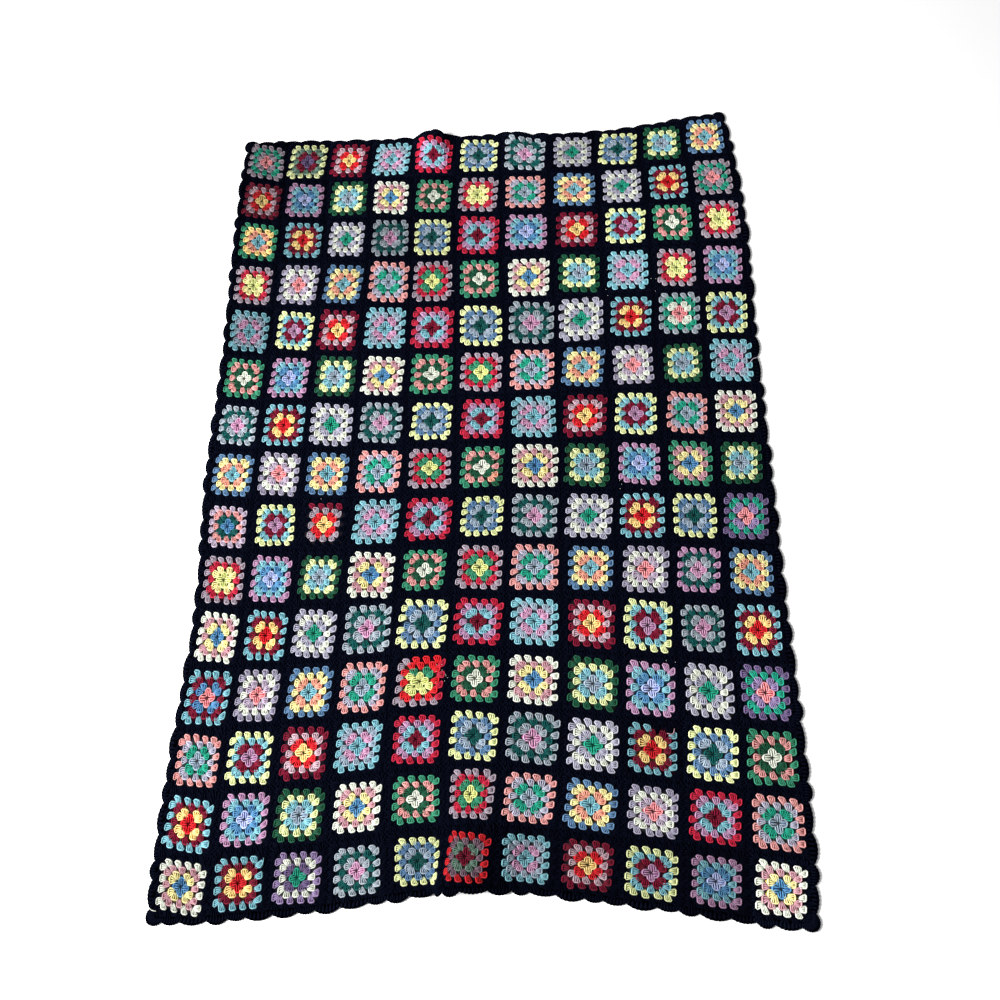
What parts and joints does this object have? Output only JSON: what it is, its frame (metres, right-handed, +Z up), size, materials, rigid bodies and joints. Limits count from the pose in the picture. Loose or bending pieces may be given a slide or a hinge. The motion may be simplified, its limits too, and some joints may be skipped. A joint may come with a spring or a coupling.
{
  "type": "granny square blanket",
  "caption": "Crocheted blanket of many-coloured granny squares set in black, with a black shell edging, laid flat with soft ridges at its head and foot.",
  "frame": {"origin": "middle of the blanket's floor print, on the floor it lies on", "axes": "+X across the squares, +Y along the blanket towards its head, +Z up"},
  "size_m": [1.2322, 1.8366, 0.0325],
  "materials": {
    "mixed_yarn": "matte, slightly fuzzy",
    "black_yarn": "matte, slightly fuzzy"
  },
  "bodies": {
    "root": {"joined_squares": "mixed_yarn", "shell_edging": "black_yarn"}
  },
  "joints": []
}
